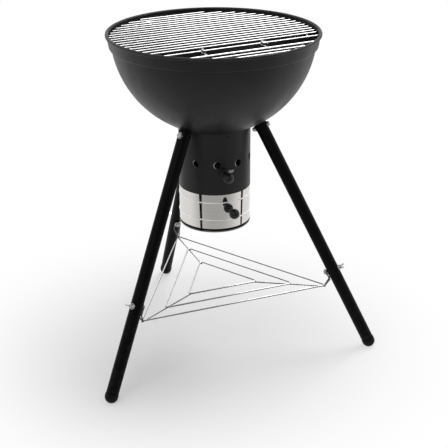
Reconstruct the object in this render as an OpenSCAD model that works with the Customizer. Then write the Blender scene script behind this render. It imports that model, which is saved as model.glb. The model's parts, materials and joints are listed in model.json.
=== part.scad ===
// Kettle charcoal grill on three tube legs, with an air tube and an ash pot under the bowl.
// Millimetres. +Z is up, the front is -Y, and the origin is on the floor under the bowl's axis.

/* [Bowl] */
// Height of the rim above the floor
rim_h = 804; // [660:2:980]
// Outer diameter of the round body
bowl_d = 478; // [450:2:580]
// Reach of the rim outside the round body
rim_out = 11; // [9:0.5:16]
// Sheet thickness of the bowl
bowl_wall = 1.5; // [1:0.1:2.5]
// Height of the flared collar above the step
collar_h = 33; // [24:1:44]
// Width of the step between body and collar
step_w = 5.5; // [4:0.5:8]
// Outer radius of the bend between step and collar
step_bend = 4; // [2.5:0.5:6]
// Diameter of the rolled bead on the rim
bead_d = 8; // [5:0.5:12]
// Length of the neck that holds the air tube
neck_h = 25; // [18:1:30]

/* [Cooking grate] */
// Depth of the bars' centres below the rim
grate_drop = 11; // [9:0.5:16]
// Gap between the bars' ends and the collar
grate_gap = 3; // [3:0.5:8]
// Angle that the loose grate is turned by
grate_turn = 5.5; // [-15:0.5:15]
// Diameter of the bars
bar_d = 4; // [3:0.5:5]
// Spacing of the bars
bar_pitch = 19.5; // [14:0.5:26]
// Diameter of the ring wire
ring_wire_d = 6; // [5:0.5:8]
// About how far the ring wire runs inside the ends of the bars
ring_inset = 25.5; // [15:0.5:40]
// How far the ring wire's crest lies past a bar, as a share of the pitch
ring_phase = 0.623; // [0.35:0.001:0.65]
// Diameter of the two cross wires
cross_wire_d = 5; // [4:0.5:7]
// Distance of each cross wire from the middle
cross_wire_x = 78; // [55:1:95]
// Depth that crossing wires sink into each other where they are welded
weld = 0.6; // [0.3:0.1:1]
// Width of the rests that carry the ring wire
rest_w = 22; // [14:1:30]
// Thickness of the rests
rest_t = 2; // [1.5:0.1:3]

/* [Grate flap] */
// Distance of the last fixed bar in front of the middle
fixed_bar_y = 89; // [70:1:100]
// Distance of the hinge rod in front of the middle
hinge_y = 118; // [108:1:130]
// Distance of the flap's first bar in front of the middle
flap_y = 160.5; // [150:0.5:170]
// Diameter of the flap's first bar
flap_bar_d = 6; // [5:0.5:8]
// Space between the flap's first and second bars
flap_first_pitch = 22.5; // [18:0.5:28]
// Diameter of the flap's wires
flap_wire_d = 3.5; // [3:0.1:4.5]
// Distance of the flap's left wire from the middle
flap_wire_left = 88; // [84:1:100]
// Distance of the flap's right wire from the middle
flap_wire_right = 61; // [40:1:70]
// Clearance between the hinge rod and the eyes
eye_gap = 0.3; // [0.2:0.1:0.8]

/* [Charcoal grate] */
// Depth of the charcoal grate below the rim
coal_drop = 156; // [130:2:180]
// Diameter of the charcoal grate's ring
coal_ring_d = 6; // [5:0.5:10]
// Diameter of the charcoal grate's bars
coal_bar_d = 5; // [4:0.5:8]
// Spacing of the charcoal grate's bars
coal_pitch = 22; // [16:1:30]

/* [Air tube and damper] */
// Outer diameter of the air tube
tube_d = 173; // [140:1:200]
// Sheet thickness of the air tube
tube_wall = 1.5; // [1:0.1:2]
// Length of the air tube below the bowl
tube_len = 152.5; // [135:0.5:200]
// Diameter of the screws that hold the tube to the neck
screw_d = 4; // [3:0.5:5]
// Height of the air holes above the tube's lower edge
vent_up = 74.5; // [68:0.5:84]
// Diameter of the air holes
vent_d = 18; // [12:0.5:22]
// Number of air holes
vent_count = 10; // [8:1:12]
// Height of the damper knob above the tube's lower edge
damper_up = 56.5; // [50:0.5:58]
// How far the damper is turned from fully open
damper_rest = 2.3; // [0:0.1:8]
// Height of the sleeve below the knob and above the air holes
sleeve_lap = 18; // [12:1:22]
// Sheet thickness of the damper sleeve
sleeve_wall = 1; // [0.8:0.1:1.5]
// Angle of the split at the back of the sleeve
sleeve_split = 6; // [3:1:20]
// Radial gap of the sheets that slide in the tube
slide_gap = 0.3; // [0.2:0.05:0.6]

/* [Ball knobs] */
// Distance of the ball's centre from the sheet that carries the knob
knob_reach = 38.5; // [30:0.5:50]
// Diameter of the ball
ball_d = 24.5; // [20:0.5:32]
// Diameter of the rosette
rosette_d = 22; // [18:0.5:28]
// Thickness of the rosette
rosette_t = 5; // [3:0.5:8]
// Diameter of the knob's stem
stem_d = 10; // [8:0.5:14]
// Diameter of the stud in the ball
stud_d = 5; // [4:0.5:6]
// Diameter of the damper stud's shoulder, which slides in the slot
shoulder_d = 8; // [6:0.5:10]

/* [Ash pot] */
// Height of the pot's outer wall
pot_h = 97; // [80:1:120]
// Sheet thickness of the pot
pot_wall = 1.2; // [0.8:0.1:2]
// Length of the pot's neck inside the air tube
pot_neck_h = 22; // [14:1:30]
// Distance from the pot's top to the upper bead
bead_down = 20; // [12:1:26]
// Distance from the pot's foot to the lower bead
bead_up = 33; // [26:1:40]
// Radius of the two beads
pot_bead_r = 1.5; // [1:0.1:2.5]
// Height of the pot's knob above its foot
pot_knob_up = 62; // [50:1:66]
// Radius of the rolled foot
pot_foot_r = 3; // [2:0.5:4]
// Height of the groove above the foot
groove_h = 3; // [2:0.5:5]
// Depth of the groove
groove_in = 2; // [1.5:0.5:3]

/* [Legs] */
// Angle of the legs from the vertical
leg_splay = 26.5; // [20:0.5:32]
// Outer diameter of the leg tubes
leg_d = 30; // [25:1:38]
// Sheet thickness of the leg tubes
leg_wall = 1.5; // [1:0.1:2.5]
// How far a foot cap stands out past its leg
foot_over = 1; // [0.5:0.1:3]
// Depth that the rounded foot is flattened where it stands
foot_flat = 1.2; // [0.5:0.1:3]
// Length of the foot's collar
foot_lip = 6; // [4:0.5:12]
// Length of the foot's plug inside the leg
foot_plug = 25; // [15:1:40]
// Length of the socket that the leg slides onto
socket_len = 70; // [50:1:100]
// Distance of the leg's bolt from its upper end
leg_bolt_in = 15; // [12:1:24]
// Diameter of the leg's and the rack's bolts
bolt_d = 6; // [5:0.5:8]

/* [Wire rack] */
// Height of the rack above the floor
rack_h = 165; // [120:1:240]
// Diameter of the rack's wire
rack_wire_d = 3.5; // [3:0.1:6]
// Distance of the outer triangle's corners inside the legs' axes
rack_inset = 41; // [36:1:60]
// Distance of the middle triangle's corners from the axis
rack_mid_r = 190; // [160:1:220]
// Distance of the inner triangle's corners from the axis
rack_inner_r = 101; // [70:1:130]
// Bend radius at the corners of the triangles
rack_bend = 7; // [4:1:14]
// Radius of the loops that hang on the bolts
loop_r = 8; // [6.5:0.5:12]
// Length of the loops' straight sides along the legs
loop_side = 16; // [6:1:24]
// Height of the rack's bolts above the rack
rack_bolt_up = 45; // [38:1:60]
// Distance between the tips of a wing nut
wing_w = 25; // [20:1:34]

/* [Hidden] */
$fn = 96;
eps = 0.01;
FRONT = -90;
LEGS = [90, 210, 330];
SCREWS = [30, 150, 270];
RESTS = [0, 90, 180, 270];

// Clearances: a piece lying on another, a bolt in its hole, a thread in its nut, a welded strap
rest_gap = 0.3;
bolt_gap = 0.2;
thread_gap = 0.02;
weld_gap = 0.1;

// A bend in a wire is a hair thicker than the straight wire, which runs into it by the lap
bend_grow = 0.05;
bend_lap = 0.4;

// Bowl
bowl_r = bowl_d / 2;
bowl_in_r = bowl_r - bowl_wall;
rim_r = bowl_r + rim_out;
bead_r = bead_d / 2;
bead_z = rim_h - bead_r;
step_z = rim_h - collar_h;
step_r = sqrt(bowl_r * bowl_r - collar_h * collar_h);
collar_foot_r = step_r + step_w;
collar_top_r = rim_r - bead_r + bowl_wall / 2;
collar_tilt = atan2(collar_top_r - collar_foot_r, bead_z - step_z);
bend_x = collar_foot_r - step_bend * (1 - sin(collar_tilt)) / cos(collar_tilt);
function collar_in_r(z) =
    collar_foot_r + (collar_top_r - collar_foot_r) * (z - step_z) / (bead_z - step_z) - bowl_wall;

// Air tube, damper and pot
tube_r = tube_d / 2;
tube_in_r = tube_r - tube_wall;
neck_r = tube_in_r - slide_gap;
neck_in_r = neck_r - bowl_wall;
tube_top = rim_h - sqrt(bowl_r * bowl_r - tube_r * tube_r);
tube_bottom = tube_top - tube_len;
neck_z = tube_top - neck_h;
neck_top = rim_h - sqrt(bowl_in_r * bowl_in_r - neck_in_r * neck_in_r);
screw_r = screw_d / 2;
screw_z = (neck_z + tube_top) / 2 + 1;
vent_z = tube_bottom + vent_up;
vent_step = 360 / vent_count;
vent_r = vent_d / 2;
damper_z = tube_bottom + damper_up;
damper_swing = vent_step / 4;
damper_az = FRONT - damper_swing + damper_rest;
sleeve_r = tube_in_r - slide_gap;
sleeve_in_r = sleeve_r - sleeve_wall;
sleeve_z = damper_z - sleeve_lap;
sleeve_top = vent_z + vent_r + sleeve_lap;
pot_top = tube_bottom - rest_gap;
pot_z = pot_top - pot_h;
pot_r = tube_r;
pot_neck_r = tube_in_r - slide_gap;
pot_knob_z = pot_z + pot_knob_up;
groove_z = pot_z + 2 * pot_foot_r;
groove_r = pot_r - groove_in;
stud_r = stud_d / 2;
shoulder_r = shoulder_d / 2;
head_lap = 2.5;

// Legs. Each leg's axis passes through the bowl's centre, and s runs down along it.
leg_r = leg_d / 2;
leg_in_r = leg_r - leg_wall;
foot_r = leg_r + foot_over;
foot_s = (rim_h - foot_r + foot_flat) / cos(leg_splay);
leg_top_s = bowl_r;
leg_end_s = foot_s - foot_lip;
leg_bolt_s = leg_top_s + leg_bolt_in;
rack_bolt_s = (rim_h - rack_h - rack_bolt_up) / cos(leg_splay);
socket_r = leg_in_r - slide_gap;
socket_wall = 1.5;
bolt_r = bolt_d / 2;
washer_r = bolt_d * 1.2;
washer_t = 1.5;
nut_t = bolt_d * 0.8;
head_t = bolt_d * 0.65;
hex_r = bolt_d * 0.96;
bolt_out = 2;
wing_t = 2;
wing_hub_h = bolt_d;
wing_tip_r = 3.2;
wing_tip_z = wing_hub_h + 4;

// Rack
rack_r = rack_wire_d / 2;
leg_axis_r = (rim_h - rack_h) * tan(leg_splay);
rack_outer_r = leg_axis_r - rack_inset;
radial_z = rack_h - 2 * rack_r + weld;
side_y = rack_r - weld / 2;
loop_x = -leg_r - rack_r - bend_grow;
loop_s = rack_bolt_s - bolt_r - bolt_gap + loop_r - rack_r - bend_grow;
loop_out = leg_r + rack_wire_d + 2 * bend_grow;

// Cooking grate
grate_z = rim_h - grate_drop;
bar_r = bar_d / 2;
ring_r = ring_wire_d / 2;
cross_r = cross_wire_d / 2;
grate_r = collar_in_r(grate_z) - grate_gap;
ring_bar = round((grate_r - ring_inset + fixed_bar_y) / bar_pitch - ring_phase);
grate_ring_r = (ring_bar + ring_phase) * bar_pitch - fixed_bar_y;
cross_z = grate_z - bar_r - cross_r + weld;
ring_z = cross_z;
bar_margin = 12;
bar_limit = grate_r - bar_margin;
rest_z = ring_z - ring_r - rest_gap;
flap_wire_r = flap_wire_d / 2;
eye_r = bar_r + eye_gap + flap_wire_r + bend_grow;
flap_wire_z = grate_z - eye_r;
flap_z = flap_wire_z + flap_wire_r + bar_r - weld;
flap_ring_z = ring_z - ring_r + cross_r;
flap_bars = concat([flap_y], [for (y = flap_y + flap_first_pitch; y < bar_limit; y = y + bar_pitch) y]);
fixed_bars = [for (y = -fixed_bar_y; y < bar_limit; y = y + bar_pitch) y];

// Charcoal grate
coal_z = rim_h - coal_drop;
coal_ring_r = coal_ring_d / 2;
coal_bar_r = coal_bar_d / 2;
coal_reach = bowl_in_r - coal_ring_r - rest_gap;
coal_r = sqrt(coal_reach * coal_reach - coal_drop * coal_drop);
coal_bar_z = coal_z + coal_ring_r + coal_bar_r - weld;
coal_bars = floor((coal_r - coal_ring_d) / coal_pitch);

ENAMEL = "#202224";
CHROME = "#d4d7da";
STEEL = "#c2c0bc";
PLASTIC = "#141414";
ZINC = "#b0b2b4";

// Straight wire from a to b
module rod(a, b, r) {
    d = b - a;
    translate(a) rotate([0, acos(d.z / norm(d)), atan2(d.y, d.x)]) cylinder(h = norm(d), r = r);
}

// Bent wire: straight pieces with a ball at each inner point
module wire_path(points, r) {
    for (i = [1 : len(points) - 1]) rod(points[i - 1], points[i], r);
    for (i = [1 : len(points) - 2]) translate(points[i]) sphere(r = r + bend_grow);
}

// Arc of round wire about Z
module wire_arc(radius, r, from, angle) {
    rotate_extrude(angle = angle, start = from) translate([radius, 0]) circle(r = r);
}

// Bend that a straight wire of radius r runs into at each end
module wire_bend(radius, r, from, angle) {
    wire_arc(radius, r + bend_grow, from, angle);
}

// Points along an arc of an outline
function arc_points(centre, r, from, to, steps = 6) =
    [for (k = [0 : steps]) let (a = from + (to - from) * k / steps) centre + r * [cos(a), sin(a)]];

// Children drawn along a radius of the air tube: their +Z points outwards
module on_tube(azimuth, z) {
    rotate([0, 0, azimuth]) translate([0, 0, z]) rotate([0, 90, 0]) children();
}

// Children drawn in a leg's own frame: +Z runs down its axis from the bowl's centre, +X points outwards
module on_leg(azimuth) {
    translate([0, 0, rim_h]) rotate([0, 0, azimuth]) rotate([0, 180 - leg_splay, 0])
        rotate([0, 0, 180]) children();
}

// Point of a leg's own frame, seen along the leg's azimuth
function leg_point(p) = [
    p.z * sin(leg_splay) + p.x * cos(leg_splay), p.y,
    rim_h - p.z * cos(leg_splay) + p.x * sin(leg_splay)
];

// Children drawn along a bolt through a leg: their +Z points outwards
module on_bolt(azimuth, s) {
    on_leg(azimuth) translate([0, 0, s]) rotate([0, 90, 0]) children();
}

// Flat ring lying on z = 0
module washer(r, t, hole_r) {
    difference() {
        cylinder(h = t, r = r);
        translate([0, 0, -1]) cylinder(h = t + 2, r = hole_r);
    }
}

// ---- Bowl ----

module bowl_profile() {
    bend = [bend_x, step_z + step_bend];
    out = [cos(collar_tilt), -sin(collar_tilt)];
    up = [sin(collar_tilt), cos(collar_tilt)];
    collar_end = bend + (bead_z - bend.y) / cos(collar_tilt) * up;
    intersection() {
        translate([0, rim_h]) difference() {
            circle(r = bowl_r, $fn = 240);
            circle(r = bowl_in_r, $fn = 240);
        }
        translate([neck_in_r, rim_h - bowl_r]) square([bowl_r, bowl_r - collar_h + bowl_wall / 2]);
    }
    translate([neck_in_r, neck_z]) square([bowl_wall, neck_top - neck_z]);
    polygon(concat(
        [[step_r - bowl_wall, step_z]],
        arc_points(bend, step_bend, -90, -collar_tilt),
        [collar_end + step_bend * out, collar_end + (step_bend - bowl_wall) * out],
        arc_points(bend, step_bend - bowl_wall, -collar_tilt, -90),
        [[step_r - bowl_wall, step_z + bowl_wall]]
    ));
    translate([rim_r - bead_r, bead_z]) circle(r = bead_r);
}

module bowl() {
    color(ENAMEL) difference() {
        rotate_extrude($fn = 240) bowl_profile();
        for (a = SCREWS) screw_hole(a);
    }
}

// Bent strap welded inside the collar, with a shelf under the ring wire
module grate_rest() {
    angle = 2 * asin(rest_w / 2 / collar_foot_r);
    low = step_z + step_bend + 1;
    function wall_r(z) = collar_in_r(z) - weld_gap;
    rotate_extrude(angle = angle, start = -angle / 2, $fn = 240) polygon([
        [grate_ring_r - 2 * ring_r, rest_z], [grate_ring_r - 2 * ring_r, rest_z - rest_t],
        [wall_r(rest_z - rest_t) - rest_t, rest_z - rest_t], [wall_r(low) - rest_t, low],
        [wall_r(low), low], [wall_r(rest_z), rest_z]
    ]);
}

module grate_rests() {
    color(ENAMEL) for (a = RESTS) rotate([0, 0, a]) grate_rest();
}

// ---- Cooking grate and flap ----

module grate_bar(y, r) {
    half = sqrt(grate_r * grate_r - pow(abs(y) + r, 2));
    translate([-half, y, 0]) rotate([0, 90, 0]) cylinder(h = 2 * half, r = r);
}

// Where a wire under the bars ends: at the last bar, or short of the collar
function wire_end(x, r, last_y) = min(last_y + bar_r, sqrt(grate_r * grate_r - pow(abs(x) + r, 2)));

module cooking_grate() {
    edge = asin((hinge_y + bar_r / 2) / grate_ring_r);
    last_y = fixed_bars[len(fixed_bars) - 1];
    far_y = wire_end(cross_wire_x, cross_r, last_y);
    color(CHROME) rotate([0, 0, grate_turn]) {
        translate([0, 0, grate_z]) {
            for (y = fixed_bars) grate_bar(y, bar_r);
            grate_bar(-hinge_y, bar_r);
        }
        translate([0, 0, ring_z]) wire_arc(grate_ring_r, ring_r, -edge, 180 + 2 * edge);
        for (x = [-cross_wire_x, cross_wire_x])
            rod([x, -hinge_y - bar_r, cross_z], [x, far_y, cross_z], cross_r);
    }
}

// Wire under the flap's bars, its end curled round the hinge rod
module flap_wire(x) {
    far_y = wire_end(x, flap_wire_r, flap_bars[len(flap_bars) - 1]);
    rod([x, -far_y, flap_wire_z], [x, -hinge_y + bend_lap, flap_wire_z], flap_wire_r);
    translate([x, -hinge_y, grate_z]) rotate([90, 0, 90]) wire_bend(eye_r, flap_wire_r, -90, 260);
}

module grate_flap() {
    edge = asin((flap_y - flap_bar_d / 2) / grate_ring_r);
    color(CHROME) rotate([0, 0, grate_turn]) {
        translate([0, 0, flap_z]) for (y = flap_bars) grate_bar(-y, y == flap_y ? flap_bar_d / 2 : bar_r);
        translate([0, 0, flap_ring_z]) wire_arc(grate_ring_r, cross_r, 180 + edge, 180 - 2 * edge);
        flap_wire(-flap_wire_left);
        flap_wire(flap_wire_right);
    }
}

module charcoal_grate() {
    color(STEEL) {
        translate([0, 0, coal_z]) wire_arc(coal_r, coal_ring_r, 0, 360);
        for (i = [-coal_bars : coal_bars]) {
            half = sqrt(coal_r * coal_r - pow(i * coal_pitch, 2));
            rod([-half, i * coal_pitch, coal_bar_z], [half, i * coal_pitch, coal_bar_z], coal_bar_r);
        }
    }
}

// ---- Air tube and damper ----

// Round hole through the tube and what slides in it
module tube_hole(azimuth, z, r) {
    on_tube(azimuth, z) translate([0, 0, tube_r - 10]) cylinder(h = 20, r = r);
}

module screw_hole(azimuth) { tube_hole(azimuth, screw_z, screw_r + bolt_gap); }

module vent_holes(turn) {
    for (i = [0 : vent_count - 1]) tube_hole(FRONT + vent_step * (i + 0.5) + turn, vent_z, vent_r);
}

// Slot that the damper stud's shoulder travels in
module damper_slot() {
    r = shoulder_r + slide_gap;
    for (a = [-damper_swing, damper_swing]) tube_hole(FRONT + a, damper_z, r);
    translate([0, 0, damper_z]) rotate_extrude(angle = 2 * damper_swing, start = FRONT - damper_swing)
        translate([tube_r - 10, eps - r]) square([20, 2 * r - 2 * eps]);
}

module air_tube() {
    color(ENAMEL) difference() {
        translate([0, 0, tube_bottom]) cylinder(h = tube_len + 5, r = tube_r, $fn = 180);
        translate([0, 0, tube_bottom - 1]) cylinder(h = tube_len + 7, r = tube_in_r, $fn = 180);
        translate([0, 0, rim_h]) sphere(r = bowl_r, $fn = 240);
        vent_holes(0);
        damper_slot();
        for (a = SCREWS) screw_hole(a);
    }
}

module tube_screws() {
    dome_r = screw_d;
    color(PLASTIC) for (a = SCREWS) on_tube(a, screw_z) {
        translate([0, 0, neck_in_r - 2]) cylinder(h = tube_r - neck_in_r + 2 + eps, r = screw_r);
        translate([0, 0, tube_r]) rotate_extrude() intersection() {
            translate([0, -dome_r / 2]) circle(r = dome_r);
            square(dome_r);
        }
    }
}

module damper_sleeve() {
    color(STEEL) difference() {
        translate([0, 0, sleeve_z]) difference() {
            cylinder(h = sleeve_top - sleeve_z, r = sleeve_r, $fn = 180);
            translate([0, 0, -1]) cylinder(h = sleeve_top - sleeve_z + 2, r = sleeve_in_r, $fn = 180);
            rotate_extrude(angle = sleeve_split, start = 90 - sleeve_split / 2)
                translate([sleeve_in_r - 5, -1]) square([sleeve_wall + 10, sleeve_top - sleeve_z + 2]);
        }
        vent_holes(damper_rest);
        tube_hole(damper_az, damper_z, shoulder_r + bolt_gap);
    }
}

// ---- Ball knobs ----

// Stud through a round sheet, with its head inside and a shoulder up to the rosette
module stud(sheet_in_r, sheet_out_r, neck_r) {
    head_r = neck_r + head_lap;
    head_z = sqrt(sheet_in_r * sheet_in_r - head_r * head_r);
    neck_z = sqrt(sheet_out_r * sheet_out_r - neck_r * neck_r);
    translate([0, 0, head_z - head_lap]) cylinder(h = head_lap, r = head_r);
    translate([0, 0, head_z - eps]) cylinder(h = neck_z - head_z, r = neck_r);
    translate([0, 0, head_z - eps]) cylinder(h = sheet_out_r + knob_reach - head_z, r = stud_r);
}

// Round base that sits on a sheet of radius sheet_r
module rosette(sheet_r, gap) {
    edge = 2;
    difference() {
        rotate_extrude() translate([stud_r + bolt_gap, sheet_r - edge]) difference() {
            square([rosette_d / 2 - stud_r - bolt_gap, rosette_t + edge]);
            translate([rosette_d / 2 - stud_r - bolt_gap - edge, rosette_t]) difference() {
                square(2 * edge);
                circle(r = edge);
            }
        }
        translate([-rosette_d, 0, 0]) rotate([0, 90, 0])
            cylinder(h = 2 * rosette_d, r = sheet_r + gap, $fn = 180);
    }
}

// Stem and ball in one moulding
module ball_knob(sheet_r) {
    low = sheet_r + rosette_t;
    mid = sheet_r + knob_reach;
    rotate_extrude() difference() {
        union() {
            polygon([
                [0, low], [stem_d / 2 + 1.5, low], [stem_d / 2, low + 2],
                [stem_d / 2 - 0.5, mid - ball_d / 4], [0, mid]
            ]);
            intersection() {
                translate([0, mid]) circle(d = ball_d);
                translate([0, mid - ball_d]) square(2 * ball_d);
            }
        }
        translate([0, low - 1]) square([stud_r + thread_gap, knob_reach - rosette_t + 1.5]);
    }
}

module damper_stud() { color(ZINC) on_tube(damper_az, damper_z) stud(sleeve_in_r, tube_r, shoulder_r); }
module damper_rosette() { color(PLASTIC) on_tube(damper_az, damper_z) rosette(tube_r, rest_gap); }
module damper_knob() { color(PLASTIC) on_tube(damper_az, damper_z) ball_knob(tube_r); }
module pot_stud() { color(ZINC) on_tube(FRONT, pot_knob_z) stud(pot_r - pot_wall, pot_r, stud_r); }
module pot_rosette() { color(PLASTIC) on_tube(FRONT, pot_knob_z) rosette(pot_r, 0); }
module pot_knob() { color(PLASTIC) on_tube(FRONT, pot_knob_z) ball_knob(pot_r); }

// ---- Ash pot ----

module ash_pot_profile() {
    // wall with its two beads
    translate([pot_r - pot_wall, groove_z + groove_h]) square([pot_wall, pot_top - groove_z - groove_h]);
    for (z = [pot_z + bead_up, pot_top - bead_down]) translate([pot_r, z]) circle(r = pot_bead_r);
    // groove, rolled foot and bottom
    difference() {
        translate([groove_r - pot_wall, groove_z - pot_wall])
            square([groove_in + pot_wall, groove_h + 2 * pot_wall]);
        translate([groove_r, groove_z]) square([2 * groove_in, groove_h]);
    }
    translate([pot_r - pot_foot_r, pot_z + pot_foot_r]) circle(r = pot_foot_r);
    translate([0, pot_z + pot_foot_r]) square([pot_r - pot_foot_r, pot_wall]);
    // shoulder and neck
    translate([pot_neck_r - pot_wall, pot_top - pot_wall]) {
        square([pot_r - pot_neck_r + pot_wall, pot_wall]);
        square([pot_wall, pot_neck_h + pot_wall]);
    }
}

module ash_pot() {
    color(STEEL) difference() {
        rotate_extrude($fn = 180) ash_pot_profile();
        tube_hole(FRONT, pot_knob_z, stud_r + bolt_gap);
    }
}

// ---- Legs ----

module leg_sockets() {
    color(ENAMEL) for (a = LEGS) difference() {
        on_leg(a) difference() {
            translate([0, 0, leg_top_s - 5]) cylinder(h = socket_len + 5, r = socket_r);
            translate([0, 0, leg_top_s - 6]) cylinder(h = socket_len + 7, r = socket_r - socket_wall);
        }
        translate([0, 0, rim_h]) sphere(r = bowl_r, $fn = 240);
        bolt_hole(a, leg_bolt_s);
    }
}

module bolt_hole(azimuth, s) {
    on_bolt(azimuth, s) cylinder(h = 3 * leg_r, r = bolt_r + bolt_gap, center = true);
}

module leg(azimuth) {
    color(ENAMEL) difference() {
        on_leg(azimuth) difference() {
            translate([0, 0, leg_top_s]) cylinder(h = leg_end_s - leg_top_s, r = leg_r);
            translate([0, 0, leg_top_s - 1]) cylinder(h = leg_end_s - leg_top_s + 2, r = leg_in_r);
        }
        for (s = [leg_bolt_s, rack_bolt_s]) bolt_hole(azimuth, s);
    }
}

module foot(azimuth) {
    color(PLASTIC) intersection() {
        on_leg(azimuth) rotate_extrude() {
            intersection() {
                translate([0, foot_s]) circle(r = foot_r);
                translate([0, foot_s - eps]) square(foot_r + 1);
            }
            translate([0, leg_end_s]) square([foot_r, foot_lip]);
            translate([0, leg_end_s - foot_plug]) square([leg_in_r - slide_gap, foot_plug + eps]);
        }
        translate([-bowl_d, -bowl_d, 0]) cube([2 * bowl_d, 2 * bowl_d, rim_h]);
    }
}

module leg_bolts() {
    low = leg_r + washer_t + nut_t + bolt_out;
    color(ZINC) for (a = LEGS) on_bolt(a, leg_bolt_s) {
        translate([0, 0, -low]) cylinder(h = low + leg_r + washer_t + eps, r = bolt_r);
        translate([0, 0, leg_r + washer_t]) cylinder(h = head_t, r = hex_r, $fn = 6);
    }
}

module leg_washers() {
    color(CHROME) for (a = LEGS, z = [leg_r, -leg_r - washer_t])
        on_bolt(a, leg_bolt_s) translate([0, 0, z]) washer(washer_r, washer_t, bolt_r + bolt_gap);
}

module leg_nuts() {
    low = leg_r + washer_t + nut_t;
    color(ZINC) for (a = LEGS) on_bolt(a, leg_bolt_s) translate([0, 0, -low]) difference() {
        cylinder(h = nut_t, r = hex_r, $fn = 6);
        translate([0, 0, -1]) cylinder(h = nut_t + 2, r = bolt_r + thread_gap);
    }
}

// ---- Wire rack ----

// Point at a distance from the axis
function polar(radius, azimuth, z) = [radius * cos(azimuth), radius * sin(azimuth), z];

// Closed triangle of wire with rounded corners
module wire_triangle(radius, z) {
    for (a = LEGS) {
        rotate([0, 0, a]) translate([radius - rack_bend, 0, z]) wire_bend(rack_bend, rack_r, -60, 120);
        start = polar(radius - rack_bend, a, z) + polar(rack_bend, a + 60, 0);
        lap = polar(bend_lap, a + 150, 0);
        end = polar(radius - rack_bend, a + 120, z) + polar(rack_bend, a + 60, 0);
        rod(start - lap, end + lap, rack_r);
    }
}

// Radial wire with the loop that stands on its outer end and hangs on the rack's bolt
module rack_corner(azimuth) {
    on_leg(azimuth) translate([loop_x, 0, loop_s]) rotate([0, 90, 0])
        wire_bend(loop_r, rack_r, -90, 180);
    rotate([0, 0, azimuth]) {
        for (side = [-1, 1]) {
            wire_path([
                leg_point([loop_x, side * loop_r, loop_s - bend_lap]),
                leg_point([loop_x, side * loop_r, loop_s + loop_side]),
                [rack_outer_r, side * side_y, rack_h]
            ], rack_r);
            translate([rack_outer_r, side * side_y, rack_h]) sphere(r = rack_r + bend_grow);
        }
        rod([rack_inner_r - rack_r, 0, radial_z], [rack_outer_r + rack_r, 0, radial_z], rack_r);
    }
}

module wire_rack() {
    color(CHROME) {
        for (a = LEGS) rack_corner(a);
        for (a = LEGS) rod(
            polar(rack_outer_r, a, rack_h) + polar(side_y, a + 90, 0),
            polar(rack_outer_r, a + 120, rack_h) - polar(side_y, a + 210, 0), rack_r
        );
        for (radius = [rack_mid_r, rack_inner_r]) wire_triangle(radius, rack_h);
    }
}

module rack_bolts() {
    low = loop_out + washer_t;
    high = leg_r + washer_t + wing_hub_h + bolt_out;
    color(ZINC) for (a = LEGS) on_bolt(a, rack_bolt_s) {
        translate([0, 0, -low - eps]) cylinder(h = low + high, r = bolt_r);
        translate([0, 0, -low - head_t]) cylinder(h = head_t, r = hex_r, $fn = 6);
    }
}

module rack_washers() {
    color(CHROME) for (a = LEGS) on_bolt(a, rack_bolt_s) {
        translate([0, 0, leg_r]) washer(washer_r, washer_t, bolt_r + bolt_gap);
        translate([0, 0, -loop_out - washer_t]) washer(loop_r + 1, washer_t, bolt_r + bolt_gap);
    }
}

// Conical hub with two wings
module wing_nut() {
    tip_x = wing_w / 2 - wing_tip_r;
    side = 0.9 * wing_tip_r * [cos(35), -sin(35)];
    difference() {
        union() {
            cylinder(h = wing_hub_h, r1 = bolt_d * 0.95, r2 = bolt_d * 0.8);
            rotate([90, 0, 90]) linear_extrude(wing_t, center = true) for (m = [0, 1]) mirror([m, 0]) {
                polygon([
                    [0, 0.5], [bolt_d, 0.5], [tip_x, wing_tip_z] + side, [tip_x, wing_tip_z] - side,
                    [bolt_d * 0.6, wing_hub_h], [0, wing_hub_h]
                ]);
                translate([tip_x, wing_tip_z]) circle(r = wing_tip_r);
            }
        }
        translate([0, 0, -1]) cylinder(h = 2 * wing_hub_h, r = bolt_r + thread_gap);
    }
}

module wing_nuts() {
    color(CHROME) for (a = LEGS) on_bolt(a, rack_bolt_s) translate([0, 0, leg_r + washer_t]) wing_nut();
}

bowl();
grate_rests();
cooking_grate();
grate_flap();
charcoal_grate();
air_tube();
tube_screws();
damper_sleeve();
damper_stud();
damper_rosette();
damper_knob();
ash_pot();
pot_stud();
pot_rosette();
pot_knob();
leg_sockets();
leg(LEGS[0]);  // leg_back
leg(LEGS[1]);  // leg_left
leg(LEGS[2]);  // leg_right
foot(LEGS[0]);  // foot_back
foot(LEGS[1]);  // foot_left
foot(LEGS[2]);  // foot_right
leg_bolts();
leg_washers();
leg_nuts();
wire_rack();
rack_bolts();
rack_washers();
wing_nuts();
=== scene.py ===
"""Looks of a kettle charcoal grill: finishes for every CAD node, screw threads and recesses,
a pale floor, soft studio light and the camera."""

import json
import math

import bpy
import numpy as np
from mathutils import Matrix, Vector


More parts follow.
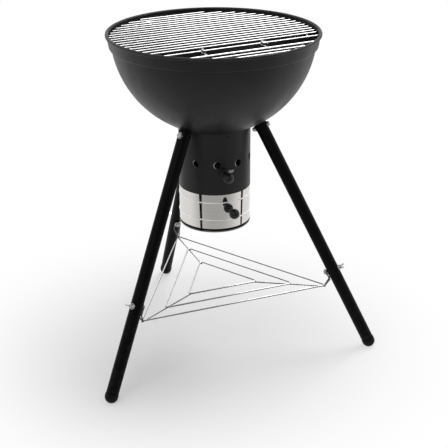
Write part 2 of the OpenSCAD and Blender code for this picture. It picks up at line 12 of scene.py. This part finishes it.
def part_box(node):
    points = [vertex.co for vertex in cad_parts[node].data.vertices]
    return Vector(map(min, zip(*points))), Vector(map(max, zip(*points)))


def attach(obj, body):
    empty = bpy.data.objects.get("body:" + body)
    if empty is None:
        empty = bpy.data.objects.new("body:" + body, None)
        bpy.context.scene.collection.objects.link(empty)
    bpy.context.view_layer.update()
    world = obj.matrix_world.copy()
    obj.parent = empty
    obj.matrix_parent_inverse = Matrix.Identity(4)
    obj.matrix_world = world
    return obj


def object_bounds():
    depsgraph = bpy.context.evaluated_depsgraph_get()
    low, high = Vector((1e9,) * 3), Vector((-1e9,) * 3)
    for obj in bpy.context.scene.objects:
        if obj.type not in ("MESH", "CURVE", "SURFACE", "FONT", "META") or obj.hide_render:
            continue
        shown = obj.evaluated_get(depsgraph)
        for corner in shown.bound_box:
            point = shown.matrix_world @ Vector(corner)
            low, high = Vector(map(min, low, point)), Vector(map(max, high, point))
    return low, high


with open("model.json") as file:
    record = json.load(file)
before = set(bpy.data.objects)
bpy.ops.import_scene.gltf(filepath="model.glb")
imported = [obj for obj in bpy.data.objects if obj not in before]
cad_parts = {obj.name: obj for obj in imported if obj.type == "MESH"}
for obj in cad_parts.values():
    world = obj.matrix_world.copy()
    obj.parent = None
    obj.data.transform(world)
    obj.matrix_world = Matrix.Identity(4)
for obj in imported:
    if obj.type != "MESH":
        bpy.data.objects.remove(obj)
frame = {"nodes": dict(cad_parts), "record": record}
cad_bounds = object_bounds()
MM = 0.001


# ---- Camera: azimuth 0 looks along +Y, angles are in degrees ----

VIEW_AZIMUTH = -21.5
CAMERA_DISTANCE = 2.418  # level distance from the bowl's axis
CAMERA_HEIGHT = 1.3855
CAMERA_PITCH = 23.85
CAMERA_PAN = 0.524
CAMERA_ROLL = -0.226
LENS = 85.4  # in mm, as is the sensor's width
SENSOR = 36
AZIMUTH = math.radians(VIEW_AZIMUTH)
TO_CAMERA = (math.sin(AZIMUTH), -math.cos(AZIMUTH))  # level direction from the bowl's axis


def make_camera():
    data = bpy.data.cameras.new("camera")
    data.sensor_width = SENSOR
    data.lens = LENS
    camera = bpy.data.objects.new("camera", data)
    camera.location = (*(CAMERA_DISTANCE * part for part in TO_CAMERA), CAMERA_HEIGHT)
    turn = Matrix.Rotation(math.radians(VIEW_AZIMUTH - CAMERA_PAN), 3, "Z")
    tip = Matrix.Rotation(math.radians(90 - CAMERA_PITCH), 3, "X")
    roll = Matrix.Rotation(math.radians(CAMERA_ROLL), 3, "Z")
    camera.rotation_euler = (turn @ tip @ roll).to_euler()
    bpy.context.collection.objects.link(camera)
    bpy.context.scene.camera = camera


# ---- Shader building ----


class Shader:
    """A material's or world's node tree, built by short calls that return output sockets."""

    def __init__(self, owner):
        owner.use_nodes = True
        self.tree = owner.node_tree
        self.tree.nodes.clear()

    def add(self, kind, settings=None, **inputs):
        node = self.tree.nodes.new(kind)
        for name, value in (settings or {}).items():
            setattr(node, name, value)
        for name, value in inputs.items():
            self.put(node.inputs[name.replace("_", " ")], value)
        return node

    def put(self, socket, value):
        if isinstance(value, bpy.types.NodeSocket):
            self.tree.links.new(value, socket)
        else:
            socket.default_value = value

    def math(self, operation, a, b=0.0):
        node = self.add("ShaderNodeMath", {"operation": operation})
        for socket, value in zip(node.inputs, (a, b)):
            self.put(socket, value)
        return node.outputs[0]

    def place(self, stretch=(1, 1, 1)):
        """The object's own coordinates in metres, stretched."""
        coords = self.add("ShaderNodeTexCoord").outputs["Object"]
        mapping = self.add("ShaderNodeMapping", Scale=stretch)
        self.put(mapping.inputs["Vector"], coords)
        return mapping.outputs[0]

    def split(self, vector):
        """The X, Y and Z outputs of a vector."""
        return self.add("ShaderNodeSeparateXYZ", Vector=vector).outputs

    def noise(self, size, detail=3.0, stretch=(1, 1, 1), distortion=0.0):
        """Noise from 0 to 1 whose blotches are about size metres wide."""
        node = self.add(
            "ShaderNodeTexNoise",
            Vector=self.place(stretch),
            Scale=1 / size,
            Detail=detail,
            Distortion=distortion,
        )
        return node.outputs["Fac"]

    def ramp(self, value, low, high, start=0.0, end=1.0):
        """value from low..high, smoothly mapped to start..end and clamped."""
        node = self.add("ShaderNodeMapRange", {"interpolation_type": "SMOOTHSTEP"})
        for name, number in (
            ("Value", value),
            ("From Min", low),
            ("From Max", high),
            ("To Min", start),
            ("To Max", end),
        ):
            self.put(node.inputs[name], number)
        return node.outputs[0]

    def mix(self, factor, a, b):
        node = self.add("ShaderNodeMix", {"data_type": "RGBA"})
        self.put(node.inputs["Factor"], factor)
        for socket, value in zip([s for s in node.inputs if s.type == "RGBA"], (a, b)):
            self.put(socket, value)
        return [s for s in node.outputs if s.type == "RGBA"][0]

    def bump(self, height, depth, normal=None):
        """Bump of the given depth in metres."""
        node = self.add("ShaderNodeBump", Height=height, Distance=depth)
        if normal:
            self.put(node.inputs["Normal"], normal)
        return node.outputs[0]

    def shows(self):
        """1 where a ray shows what it meets, seen directly, reflected or through something clear."""
        path = self.add("ShaderNodeLightPath").outputs
        seen = self.math("MAXIMUM", path["Is Camera Ray"], path["Is Glossy Ray"])
        return self.math("MAXIMUM", seen, path["Is Transmission Ray"])

    def reflected(self):
        """1 where a ray is a reflection."""
        return self.add("ShaderNodeLightPath").outputs["Is Glossy Ray"]

    def finish(self, **inputs):
        surface = self.add("ShaderNodeBsdfPrincipled", **inputs)
        output = self.add("ShaderNodeOutputMaterial")
        self.put(output.inputs["Surface"], surface.outputs[0])


def grey(level, warmth=0.0):
    """A grey with a little warmth, or coolness below 0."""
    return (level * (1 + warmth), level, level * (1 - warmth), 1)


def height(shader):
    """Height above the floor, in metres."""
    return shader.split(shader.place())["Z"]


# ---- Finishes: what they are made of ----

BEAD_WORN = 8 * MM  # the worn part of the bowl's rim, down from its top
BEAD_CREST = 1 * MM  # where it is worn the most
DUST_TOP = 280 * MM  # dust on the legs starts at this height
DUST_FULL = 20 * MM  # and is thickest below this one
SHADE_BLEND = 0.4  # change in a wire's upward facing over which the painted shade on its sides and undersides comes in
ROLL = 4.8 * MM  # height of the pot's rolled foot
GROOVE = 9.5 * MM  # top of the groove over it, blackened as a painted dark reflection
ROLL_EDGE = 0.5 * MM  # soft edge of the foot's grey, a painted dark reflection
GROOVE_EDGES = (1.0 * MM, 1.2 * MM)  # soft edges of the groove, below and above
BEADS = (33 * MM, 77 * MM)  # heights of the pot's two beads over its foot
BEAD_HIGHLIGHT = (1.2 * MM, 2.2 * MM)  # distances from a bead's middle between which its painted highlight fades


def enamel(name, base, specular, rough, top=None):
    """Black vitreous enamel: faint orange peel, fine specks, soft handling marks."""
    material = bpy.data.materials.new(name)
    s = Shader(material)
    cloud = s.noise(120 * MM, 4)
    colour = s.mix(s.ramp(cloud, 0.3, 0.7), grey(base * 0.8), grey(base * 1.25, 0.02))
    speck = s.ramp(s.noise(1.1 * MM, 1), 0.70, 0.80)
    colour = s.mix(s.math("MULTIPLY", speck, 0.5), colour, grey(base * 4))
    smear = s.noise(50 * MM, 5, (1, 1, 0.35), 0.6)
    roughness = s.ramp(smear, 0.25, 0.75, rough - 0.05, rough + 0.06)
    if top:
        # Handling wears the rolled bead: a little duller and greyer
        bead = s.ramp(height(s), top - BEAD_WORN, top - BEAD_CREST)
        wear = s.math("MULTIPLY", bead, s.ramp(s.noise(30 * MM), 0.45, 0.7))
        colour = s.mix(s.math("MULTIPLY", wear, 0.35), colour, grey(base * 5))
        roughness = s.math("ADD", roughness, s.math("MULTIPLY", wear, 0.12))
    peel = s.bump(s.noise(3.5 * MM, 2), 0.05 * MM)
    normal = s.bump(speck, 0.02 * MM, peel)
    s.finish(Base_Color=colour, Roughness=roughness, Normal=normal, Specular_IOR_Level=specular)
    return material


def paint(name, base, specular, rough):
    """Black paint on tube and screws: orange peel, dust that settles low, small scuffs."""
    material = bpy.data.materials.new(name)
    s = Shader(material)
    cloud = s.noise(40 * MM, 3)
    colour = s.mix(s.ramp(cloud, 0.3, 0.7), grey(base * 0.7), grey(base * 1.3))
    low = s.ramp(height(s), DUST_TOP, DUST_FULL)
    dust = s.math("MULTIPLY", low, s.ramp(s.noise(12 * MM, 5), 0.45, 0.8))
    colour = s.mix(s.math("MULTIPLY", dust, 0.10), colour, grey(0.10, 0.05))
    scuff = s.ramp(s.noise(10 * MM, 4, (1, 1, 0.15), 1.5), 0.66, 0.74)
    colour = s.mix(s.math("MULTIPLY", scuff, 0.25), colour, grey(base * 5))
    roughness = s.ramp(s.noise(30 * MM, 4), 0.3, 0.7, rough - 0.04, rough + 0.06)
    roughness = s.math("ADD", roughness, s.math("MULTIPLY", scuff, 0.15))
    normal = s.bump(s.noise(2.2 * MM, 2), 0.03 * MM)
    s.finish(Base_Color=colour, Roughness=roughness, Normal=normal, Specular_IOR_Level=specular)
    return material


def plastic(name, base, specular, rough, grain):
    """Moulded black plastic with a fine spark-eroded grain."""
    material = bpy.data.materials.new(name)
    s = Shader(material)
    cloud = s.noise(15 * MM, 3)
    colour = s.mix(s.ramp(cloud, 0.3, 0.7), grey(base * 0.8), grey(base * 1.3))
    roughness = s.ramp(s.noise(8 * MM, 4), 0.3, 0.7, rough - 0.06, rough + 0.06)
    normal = s.bump(s.noise(grain, 2), 0.05 * MM)
    s.finish(Base_Color=colour, Roughness=roughness, Normal=normal, Specular_IOR_Level=specular)
    return material


def plated_wire(name, level, rough, underside_shade=0.0, unshaded_facing=1.0, uneven=0.0):
    """Drawn wire with bright plating: slight clouding and pits, and painted shade, a darker
    colour in a given share where it faces up less than a given facing, give or take uneven."""
    material = bpy.data.materials.new(name)
    s = Shader(material)
    cloud = s.noise(20 * MM, 4)
    colour = s.mix(s.ramp(cloud, 0.3, 0.75), grey(level), grey(level * 0.86))
    pit = s.ramp(s.noise(0.9 * MM, 2), 0.68, 0.78)
    colour = s.mix(s.math("MULTIPLY", pit, 0.5), colour, grey(level * 0.5))
    roughness = s.ramp(s.noise(6 * MM, 4), 0.3, 0.7, rough - 0.05, rough + 0.07)
    # Painted shade: the wire's colour darkens where it faces sideways or down, as if shade fell there
    if underside_shade:
        upward = s.split(s.add("ShaderNodeTexCoord").outputs["Normal"])["Z"]
        upward = s.math("ADD", upward, s.ramp(s.noise(15 * MM, 4), 0.3, 0.7, -uneven, uneven))
        painted_underside_shade = s.math("MULTIPLY", s.ramp(upward, unshaded_facing, unshaded_facing - SHADE_BLEND), underside_shade)
        colour = s.mix(painted_underside_shade, colour, grey(0.02, 0.1))
        roughness = s.math("ADD", roughness, s.math("MULTIPLY", painted_underside_shade, 0.4))
    normal = s.bump(s.noise(1.5 * MM, 3), 0.02 * MM)
    s.finish(Base_Color=colour, Metallic=1.0, Roughness=roughness, Normal=normal)
    return material


def plain_steel(name, level):
    """Bare wire that heat has tinted: grey, straw and brown patches, dull scale."""
    material = bpy.data.materials.new(name)
    s = Shader(material)
    heat = s.noise(50 * MM, 4)
    straw = (level * 0.95, level * 0.82, level * 0.6, 1)
    colour = s.mix(s.ramp(heat, 0.35, 0.6), grey(level), straw)
    scale = s.ramp(s.noise(4 * MM, 4), 0.52, 0.7)
    colour = s.mix(s.math("MULTIPLY", scale, 0.6), colour, grey(level * 0.35, 0.06))
    roughness = s.ramp(scale, 0, 1, 0.32, 0.6)
    normal = s.bump(s.noise(1.5 * MM, 4), 0.06 * MM)
    s.finish(Base_Color=colour, Metallic=0.9, Roughness=roughness, Normal=normal)
    return material


def polished_steel(name, level, rough, anisotropy, foot=None):
    """Spun sheet steel: fine lines round the axis and smudges. With the height of a foot,
    it also has a grey foot and a black groove over that as painted dark reflection, and rougher beads
    with a painted highlight."""
    material = bpy.data.materials.new(name)
    s = Shader(material)
    lines = s.noise(0.35 * MM, 2, (0.02, 0.02, 1))
    broad = s.noise(9 * MM, 2, (0.03, 0.03, 1))
    smudge = s.ramp(s.noise(35 * MM, 5, (1, 1, 0.7), 0.4), 0.45, 0.75)
    colour = s.mix(s.ramp(broad, 0.3, 0.7), grey(level * 0.95, 0.03), grey(level, 0.04))
    colour = s.mix(s.math("MULTIPLY", s.ramp(lines, 0.3, 0.7), 0.10), colour, grey(level * 0.7))
    roughness = s.ramp(smudge, 0, 1, rough, rough + 0.05)
    if foot is not None:
        up = s.math("SUBTRACT", height(s), foot)
        # Painted dark reflection: the foot is greyed and the groove band over it blackened
        over = s.ramp(up, ROLL - GROOVE_EDGES[0], ROLL)
        groove = s.math("MULTIPLY", over, s.ramp(up, GROOVE + GROOVE_EDGES[1], GROOVE))
        below = s.math("MULTIPLY", s.ramp(up, ROLL + ROLL_EDGE, ROLL), s.ramp(broad, 0.2, 0.8, 0.75, 1.0))
        colour = s.mix(below, colour, grey(level * 0.2, 0.02))
        colour = s.mix(groove, colour, grey(0.012, 0.1))
        roughness = s.math("ADD", roughness, s.math("MULTIPLY", groove, 0.3))
        # Painted highlight: each bead is made rougher and its colour brightened to near white
        for bead in BEADS:
            off = s.math("ABSOLUTE", s.math("SUBTRACT", up, bead))
            painted_bead_highlight = s.ramp(off, BEAD_HIGHLIGHT[1], BEAD_HIGHLIGHT[0])
            roughness = s.math("ADD", roughness, s.math("MULTIPLY", painted_bead_highlight, 0.45))
            colour = s.mix(painted_bead_highlight, colour, grey(0.95))
    normal = s.bump(lines, 0.004 * MM)
    tangent = s.add("ShaderNodeTangent", {"direction_type": "RADIAL", "axis": "Z"}).outputs[0]
    s.finish(
        Base_Color=colour,
        Metallic=1.0,
        Roughness=roughness,
        Anisotropic=anisotropy,
        Tangent=tangent,
        Normal=normal,
    )
    return material


def zinc(name, level):
    """Zinc plated fastener: crystalline mottling with a faint yellow and blue cast."""
    material = bpy.data.materials.new(name)
    s = Shader(material)
    crystal = s.add("ShaderNodeTexVoronoi", Vector=s.place(), Scale=1 / (1.2 * MM)).outputs["Color"]
    cast = s.noise(5 * MM, 3)
    yellow = (level, level * 0.97, level * 0.88, 1)
    colour = s.mix(s.ramp(cast, 0.35, 0.65), yellow, grey(level * 0.92, -0.04))
    colour = s.mix(0.10, colour, crystal)
    roughness = s.ramp(s.noise(1.5 * MM, 4), 0.3, 0.7, 0.22, 0.42)
    normal = s.bump(s.noise(0.8 * MM, 3), 0.02 * MM)
    s.finish(Base_Color=colour, Metallic=1.0, Roughness=roughness, Normal=normal)
    return material


# ---- Finishes: which node has which ----

RIM_TOP = cad_bounds[1].z
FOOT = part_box("ash_pot")[0].z  # height of the ash pot's foot

FINISHES = {
    "bowl_enamel": enamel("bowl_enamel", base=0.008, specular=0.28, rough=0.42, top=RIM_TOP),
    "tube_enamel": enamel("tube_enamel", base=0.009, specular=0.25, rough=0.45),
    "leg_paint": paint("leg_paint", base=0.0022, specular=0.06, rough=0.40),
    "black_screw": paint("black_screw", base=0.006, specular=0.3, rough=0.3),
    "foot_plastic": plastic("foot_plastic", base=0.0025, specular=0.12, rough=0.5, grain=0.9 * MM),
    "knob_plastic": plastic("knob_plastic", base=0.006, specular=0.3, rough=0.36, grain=0.7 * MM),
    "chrome_wire": plated_wire("chrome_wire", level=0.94, rough=0.20, underside_shade=0.88, unshaded_facing=0.90, uneven=0.03),
    "grate_wire": plated_wire("grate_wire", level=0.88, rough=0.10, underside_shade=0.9, unshaded_facing=0.35, uneven=0.2),
    "bright_washer": plated_wire("bright_washer", level=0.5, rough=0.24),
    "wing_chrome": plated_wire("wing_chrome", level=0.58, rough=0.16),
    "plain_steel": plain_steel("plain_steel", level=0.42),
    "damper_steel": polished_steel("damper_steel", level=0.28, rough=0.3, anisotropy=0.4),
    "polished_steel": polished_steel("polished_steel", level=0.66, rough=0.06, anisotropy=0.3, foot=FOOT),
    "zinc": zinc("zinc", level=0.44),
}

OVER_THE_FIRE = ("cooking_grate", "grate_flap")  # their finish has painted shade on its sides and undersides
WELD_DISTANCE = 0.002 * MM
SHARP_ANGLE = math.radians(32)


def dress_cad():
    """Gives each CAD node its finish, shaded smooth except across sharp edges."""
    slots = {part["node"]: part["material_slot"] for part in frame["record"]["subparts"]}
    for name, piece in frame["nodes"].items():
        slot = slots[name]
        finish = "grate_wire" if name in OVER_THE_FIRE else slot
        piece.data.materials.clear()
        piece.data.materials.append(FINISHES[finish])
        for face in piece.data.polygons:
            face.use_smooth = True
        weld = piece.modifiers.new("weld", "WELD")
        weld.merge_threshold = WELD_DISTANCE
        split = piece.modifiers.new("sharp_edges", "EDGE_SPLIT")
        split.split_angle = SHARP_ANGLE


# ---- Screw threads and recesses ----

APART = math.radians(20)  # fasteners of a node are further apart than this round the bowl's axis
END_DEPTH = 0.1 * MM  # points this near a bolt's end are on its end face
CROWN_DEPTH = 2.4 * MM  # the part of a screw's head that is its dome

THREAD_PITCH = 1.0 * MM
THREAD_LENGTH = 2.4 * MM
THREAD_INSET = 0.35 * THREAD_PITCH  # from the bolt's end to the thread's start
THREAD_HALF = 0.3 * THREAD_PITCH  # half its width at the root
THREAD_CREST = 0.14 * MM  # height of the thread over the shank
THREAD_ROOT = 0.10 * MM  # how far it starts inside the shank
THREAD_RUNOUT = 0.5  # turns over which it rises at each end
THREAD_STEPS = 28  # sections in a turn

ARM_LENGTH = 1.9 * MM  # a recess's arm from the screw's axis
ARM_WIDTH = 0.9 * MM
ARM_PROUD = 0.04 * MM
ARM_DEPTH = 0.4 * MM
ARM_STEPS = 6


def new_piece(name, verts, faces, slot, body):
    """A mesh in a finish that moves with a body."""
    mesh = bpy.data.meshes.new(name)
    mesh.from_pydata([tuple(v) for v in verts], [], faces)
    mesh.materials.append(FINISHES[slot])
    piece = bpy.data.objects.new(name, mesh)
    bpy.context.collection.objects.link(piece)
    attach(piece, body)


def loft(first, steps, sides):
    """Faces of a closed solid lofted through steps + 1 sections, whose points start at first."""
    faces = []
    for start in range(first, first + sides * steps, sides):
        for i in range(sides):
            j = (i + 1) % sides
            faces.append([start + sides + i, start + sides + j, start + j, start + i])
    opening = list(range(first, first + sides))
    closing = [sides * steps + i for i in reversed(opening)]
    return faces + [opening, closing]


def fasteners(node):
    """Each solid of a fastener node as (middle, outward axis, its points), found by azimuth."""
    points = np.array([v.co for v in frame["nodes"][node].data.vertices])
    points = np.unique(np.round(points, 7), axis=0)
    angles = np.arctan2(points[:, 1], points[:, 0])
    order = np.argsort(angles)
    # A fastener starts after each wide gap, the last of which may be the one across 180 degrees
    gaps = np.diff(np.append(angles[order], angles[order[0]] + 2 * math.pi))
    starts = np.nonzero(gaps > APART)[0] + 1
    order = np.roll(order, -starts[-1])
    found = []
    for group in np.split(order, (starts[:-1] - starts[-1]) % len(order)):
        own = points[group]
        middle = own.mean(axis=0)
        axis = np.linalg.svd(own - middle, full_matrices=False)[2][0]
        if axis @ (middle * (1, 1, 0)) < 0:
            axis = -axis
        found.append((middle, axis, own))
    return found


def across(axis):
    """Two unit vectors square to an axis and to each other."""
    first = np.cross(axis, (0, 0, 1))
    first /= np.linalg.norm(first)
    return first, np.cross(axis, first)


def make_threads(name, node, outer_end):
    """A helical ridge on the free end of each bolt of a node."""
    verts, faces = [], []
    steps = round(THREAD_LENGTH / THREAD_PITCH * THREAD_STEPS)
    for middle, axis, points in fasteners(node):
        along = (points - middle) @ axis
        end = along.max() if outer_end else along.min()
        inwards = -axis if outer_end else axis
        start = middle + end * axis
        rim = points[np.abs(along - end) < END_DEPTH] - start
        shank = np.linalg.norm(rim, axis=1).max()
        side, up = across(inwards)
        faces += loft(len(verts), steps, 3)
        for k in range(steps + 1):
            turns = k / THREAD_STEPS
            turns_left = (steps - k) / THREAD_STEPS
            rise = min(1, turns / THREAD_RUNOUT, turns_left / THREAD_RUNOUT)
            out = side * math.cos(2 * math.pi * turns) + up * math.sin(2 * math.pi * turns)
            place = start + inwards * (THREAD_INSET + THREAD_PITCH * turns)
            root = place + out * (shank - THREAD_ROOT)
            crest = root + out * ((THREAD_ROOT + THREAD_CREST) * rise)
            half = inwards * THREAD_HALF
            verts += [root - half, crest, root + half]
    new_piece(name, verts, faces, "zinc", "stand")


def make_recesses(name, node):
    """A cross in the crown of each domed screw head of a node."""
    verts, faces = [], []
    for middle, axis, points in fasteners(node):
        along = (points - middle) @ axis
        crown = middle + along.max() * axis
        rim = points[along > along.max() - CROWN_DEPTH] - crown
        drop = -(rim @ axis)
        width = np.linalg.norm(rim + np.outer(drop, axis), axis=1)
        widest = width.argmax()
        radius = (width[widest] ** 2 + drop[widest] ** 2) / (2 * drop[widest])
        centre = crown - radius * axis
        for arm in across(axis):
            side = np.cross(axis, arm)
            faces += loft(len(verts), ARM_STEPS, 4)
            for k in range(ARM_STEPS + 1):
                reach = ARM_LENGTH * (2 * k / ARM_STEPS - 1)
                for edge, lift in ((-1, ARM_PROUD), (1, ARM_PROUD), (1, -ARM_DEPTH), (-1, -ARM_DEPTH)):
                    out = arm * reach + side * (edge * ARM_WIDTH / 2)
                    rise = math.sqrt(radius**2 - out @ out)
                    verts.append(centre + out + axis * (rise + lift))
    new_piece(name, verts, faces, "black_screw", "stand")


# ---- Floor, backdrop and light ----

FLOOR_SIZE = 40
FLOOR_GREY = 0.92
FLOOR_CENTRE = (-0.05, 0.01)  # middle of the shaded floor
FLOOR_FADE = (0.0, 0.83)  # distances from it between which the floor turns white
FLOOR_GLOW = 0.07  # share of white at the middle
DARK_END = TO_CAMERA  # reflections of the floor and the room darken this way
FLOOR_TURN = 1.0  # distance towards the dark end over which reflections of the floor darken
FLOOR_END = 0.5  # their brightness there
ROOM_TURN = (-0.2, 0.9)  # cosines from the dark end between which reflections of the room darken
ROOM_END = 0.3  # their brightness there
ROOM_LIGHT = 0.55  # brightness of the room as light

LAMP_SIZE = 1.8
KEY_PLACE = (1.6, 0.9, 3.2)
KEY_POWER = 45
FILL_PLACE = (-2.4, -1.8, 2.2)
FILL_POWER = 18


def make_floor():
    """A pale floor that fades to white away from the object and keeps its shadow."""
    bpy.ops.mesh.primitive_plane_add(size=FLOOR_SIZE)
    floor = bpy.context.object
    floor.name = "floor"
    material = bpy.data.materials.new("floor_white")
    s = Shader(material)
    place = s.split(s.place())
    x = s.math("SUBTRACT", place["X"], FLOOR_CENTRE[0])
    y = s.math("SUBTRACT", place["Y"], FLOOR_CENTRE[1])
    radius = s.math("SQRT", s.math("ADD", s.math("MULTIPLY", x, x), s.math("MULTIPLY", y, y)))
    fade = s.ramp(radius, *FLOOR_FADE)
    diffuse = s.add("ShaderNodeBsdfDiffuse", Color=grey(FLOOR_GREY)).outputs[0]
    towards = s.math("ADD", s.math("MULTIPLY", x, DARK_END[0]), s.math("MULTIPLY", y, DARK_END[1]))
    dark = s.ramp(towards, 0.0, FLOOR_TURN, 1.0, FLOOR_END)
    strength = s.ramp(s.reflected(), 0, 1, 1.0, dark)
    white = s.add("ShaderNodeEmission", Color=grey(1.0), Strength=strength).outputs[0]
    blend = s.add("ShaderNodeMixShader")
    s.put(blend.inputs["Fac"], s.math("MULTIPLY", s.shows(), s.ramp(fade, 0, 1, FLOOR_GLOW, 1.0)))
    s.put(blend.inputs[1], diffuse)
    s.put(blend.inputs[2], white)
    output = s.add("ShaderNodeOutputMaterial")
    s.put(output.inputs["Surface"], blend.outputs[0])
    floor.data.materials.append(material)


def make_world():
    """A white room, darker at one end in reflections, and softer as light."""
    world = bpy.data.worlds.new("studio")
    bpy.context.scene.world = world
    s = Shader(world)
    strength = s.ramp(s.shows(), 0, 1, ROOM_LIGHT, 1.0)
    facing = s.add("ShaderNodeVectorMath", {"operation": "DOT_PRODUCT"})
    s.put(facing.inputs[0], s.add("ShaderNodeTexCoord").outputs["Generated"])
    s.put(facing.inputs[1], (*DARK_END, 0))
    room = s.ramp(facing.outputs["Value"], *ROOM_TURN, 1.0, ROOM_END)
    strength = s.math("MULTIPLY", strength, s.ramp(s.reflected(), 0, 1, 1.0, room))
    background = s.add("ShaderNodeBackground", Color=grey(1.0), Strength=strength)
    output = s.add("ShaderNodeOutputWorld")
    s.put(output.inputs["Surface"], background.outputs[0])


def make_lamp(name, place, aim, power):
    data = bpy.data.lights.new(name, "AREA")
    data.shape = "SQUARE"
    data.size = LAMP_SIZE
    data.energy = power
    lamp = bpy.data.objects.new(name, data)
    lamp.location = place
    lamp.rotation_euler = (aim - Vector(place)).to_track_quat("-Z", "Y").to_euler()
    bpy.context.collection.objects.link(lamp)


def make_studio():
    centre = (cad_bounds[0] + cad_bounds[1]) / 2
    make_floor()
    make_world()
    make_lamp("key", KEY_PLACE, centre, KEY_POWER)
    make_lamp("fill", FILL_PLACE, centre, FILL_POWER)


make_camera()
dress_cad()
make_threads("leg_bolt_threads", "leg_bolts", outer_end=False)
make_threads("rack_bolt_threads", "rack_bolts", outer_end=True)
make_recesses("tube_screw_recesses", "tube_screws")
make_studio()
bpy.context.scene.view_settings.view_transform = "Standard"
